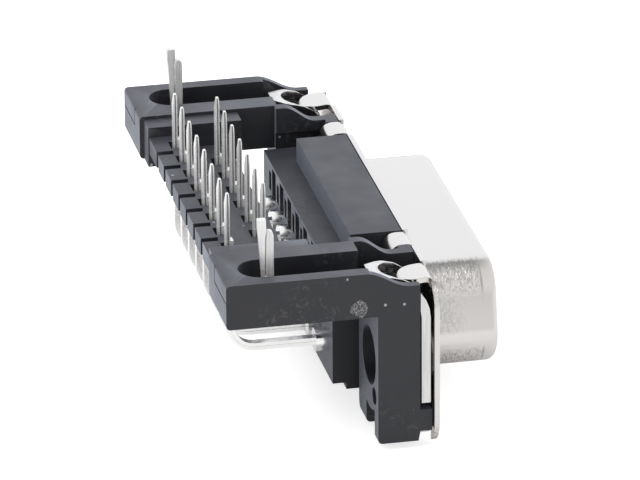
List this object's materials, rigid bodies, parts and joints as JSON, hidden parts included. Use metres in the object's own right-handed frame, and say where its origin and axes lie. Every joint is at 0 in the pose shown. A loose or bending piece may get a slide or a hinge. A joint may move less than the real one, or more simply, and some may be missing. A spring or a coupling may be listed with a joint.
{
  "type": "d-sub connector",
  "caption": "Right-angle board-mount D-sub socket connector with a plated D shell, black bracket with notched comb, grounding straps, split board locks and solder tails.",
  "frame": {"origin": "midway between the two flange holes, on the front face of the shell's flange", "axes": "+X along the connector, -Y the mating direction, +Z towards the board that the tails enter"},
  "size_m": [0.0392, 0.0211, 0.0175],
  "materials": {
    "plated_steel": "bright nickel or tin plate, smooth",
    "strap_steel": "bright tin plate",
    "black_plastic": "moulded black polyester, satin",
    "bracket_plastic": "moulded black polyester, fine matte",
    "contact_metal": "tin plate over brass, satin"
  },
  "bodies": {
    "root": {"shell": "plated_steel", "front_insulator": "black_plastic", "rear_insulator": "black_plastic", "bracket": "bracket_plastic", "ground_strap_left": "strap_steel", "ground_strap_right": "strap_steel", "board_lock_left": "strap_steel", "board_lock_right": "strap_steel", "contact_1": "contact_metal", "contact_2": "contact_metal", "contact_3": "contact_metal", "contact_4": "contact_metal", "contact_5": "contact_metal", "contact_6": "contact_metal", "contact_7": "contact_metal", "contact_8": "contact_metal", "contact_9": "contact_metal", "contact_10": "contact_metal", "contact_11": "contact_metal", "contact_12": "contact_metal", "contact_13": "contact_metal", "contact_14": "contact_metal", "contact_15": "contact_metal"}
  },
  "joints": []
}
